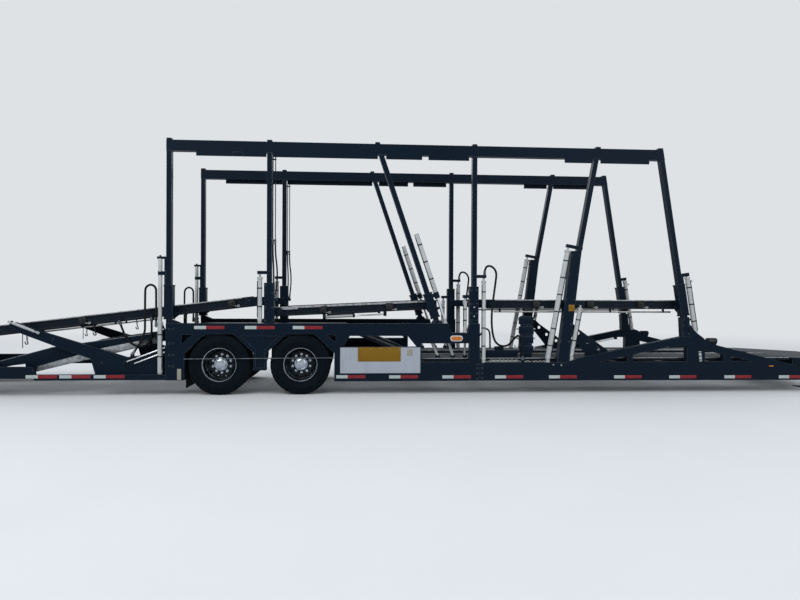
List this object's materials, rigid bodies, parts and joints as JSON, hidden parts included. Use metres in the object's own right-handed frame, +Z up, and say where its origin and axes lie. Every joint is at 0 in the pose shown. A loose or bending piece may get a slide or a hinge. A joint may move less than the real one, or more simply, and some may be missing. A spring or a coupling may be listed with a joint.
{
  "type": "car transporter trailer",
  "caption": "Open car transporter trailer with side frames, slanted deck posts, tilting upper decks and tandem dual wheels.",
  "frame": {"origin": "on the road, under the middle of the trailer's length and width", "axes": "+X towards the trailer's front, +Z up, +Y to its left-hand side"},
  "size_m": [15.1, 2.626, 3.96],
  "materials": {
    "frame_paint": "gloss",
    "deck_steel": "satin",
    "cylinder_paint": "satin",
    "bright_steel": "polished",
    "tyre_rubber": "matte",
    "polished_aluminium": "polished",
    "white_panel": "satin",
    "black_rubber": "matte",
    "amber_lens": "gloss"
  },
  "bodies": {
    "frame": {"side_frame_rear_right": "frame_paint", "side_frame_rear_left": "frame_paint", "side_frame_front_right": "frame_paint", "side_frame_front_left": "frame_paint", "rear_arms": "frame_paint", "rear_rails": "frame_paint", "rear_bumper": "frame_paint", "top_rails": "frame_paint", "post_1": "frame_paint", "post_2": "frame_paint", "post_3": "frame_paint", "post_4": "frame_paint", "post_5": "frame_paint", "post_6": "frame_paint", "lift_base_rear": "cylinder_paint", "lift_base_middle": "bright_steel", "lift_base_front": "cylinder_paint", "closed_cylinders": "cylinder_paint", "ramp_ears": "frame_paint", "axle_deck": "deck_steel", "slope_deck": "deck_steel", "well_deck": "deck_steel", "cross_members": "frame_paint", "rear_cross_members": "frame_paint", "subframe_rails": "frame_paint", "axle_rear": "frame_paint", "axle_front": "frame_paint", "spring_hangers": "frame_paint", "nose": "frame_paint", "kingpin": "bright_steel", "landing_legs": "frame_paint", "diagonal_arms": "frame_paint", "hydraulic_hoses": "black_rubber", "air_tanks": "frame_paint", "mud_flaps": "black_rubber", "side_panels": "white_panel", "marker_lamps": "amber_lens"},
    "deck_rear": {"deck_rear": "deck_steel"},
    "deck_middle": {"deck_middle": "deck_steel"},
    "deck_front": {"deck_front": "deck_steel"},
    "rear_ramp": {"rear_ramp": "deck_steel"},
    "lift_slide_rear": {"lift_slide_rear": "frame_paint"},
    "lift_slide_middle": {"lift_slide_middle": "frame_paint"},
    "lift_slide_front": {"lift_slide_front": "frame_paint"},
    "wheel_rear_right": {"tyres_rear_right": "tyre_rubber", "wheel_discs_rear_right": "polished_aluminium"},
    "wheel_rear_left": {"tyres_rear_left": "tyre_rubber", "wheel_discs_rear_left": "polished_aluminium"},
    "wheel_front_right": {"tyres_front_right": "tyre_rubber", "wheel_discs_front_right": "polished_aluminium"},
    "wheel_front_left": {"tyres_front_left": "tyre_rubber", "wheel_discs_front_left": "polished_aluminium"}
  },
  "joints": [
    {"name": "wheel_rear_right_spin", "type": "hinge", "parent": "frame", "child": "wheel_rear_right", "pos_m": [-2.84, -1.008, 0.4675], "axis": [0, 1, 0], "continuous": true},
    {"name": "wheel_rear_left_spin", "type": "hinge", "parent": "frame", "child": "wheel_rear_left", "pos_m": [-2.84, 1.008, 0.4675], "axis": [0, 1, 0], "continuous": true},
    {"name": "wheel_front_right_spin", "type": "hinge", "parent": "frame", "child": "wheel_front_right", "pos_m": [-1.595, -1.008, 0.4675], "axis": [0, 1, 0], "continuous": true},
    {"name": "wheel_front_left_spin", "type": "hinge", "parent": "frame", "child": "wheel_front_left", "pos_m": [-1.595, 1.008, 0.4675], "axis": [0, 1, 0], "continuous": true},
    {"name": "deck_rear_tilt", "type": "hinge", "parent": "frame", "child": "deck_rear", "pos_m": [-2.4, 0, 1.45], "axis": [0, 1, 0], "range_deg": [0, 25]},
    {"name": "lift_rear_slide", "type": "slide", "parent": "frame", "child": "lift_slide_rear", "axis": [0, 0, 1], "range_m": [0, 0.525]},
    {"name": "deck_middle_tilt", "type": "hinge", "parent": "frame", "child": "deck_middle", "pos_m": [-1.95, 0, 1.29], "axis": [0, -1, 0], "range_deg": [0, 22]},
    {"name": "lift_middle_slide", "type": "slide", "parent": "frame", "child": "lift_slide_middle", "axis": [-0.3219, 0, 0.9468], "range_m": [0, 0.945]},
    {"name": "deck_front_tilt", "type": "hinge", "parent": "frame", "child": "deck_front", "pos_m": [1.44, 0, 1.42], "axis": [0, -1, 0], "range_deg": [0, 13.5]},
    {"name": "lift_front_slide", "type": "slide", "parent": "frame", "child": "lift_slide_front", "axis": [-0.1532, 0, 0.9882], "range_m": [0, 0.743]},
    {"name": "rear_ramp_tilt", "type": "hinge", "parent": "frame", "child": "rear_ramp", "pos_m": [-3.76, 0, 0.94], "axis": [0, 1, 0], "range_deg": [-2, 6]}
  ],
  "couplings": [
    {"joint": "lift_rear_slide", "follows": "deck_rear_tilt", "m_per_rad": 1.2012},
    {"joint": "lift_middle_slide", "follows": "deck_middle_tilt", "m_per_rad": 2.4604},
    {"joint": "lift_front_slide", "follows": "deck_front_tilt", "m_per_rad": 3.1512}
  ]
}
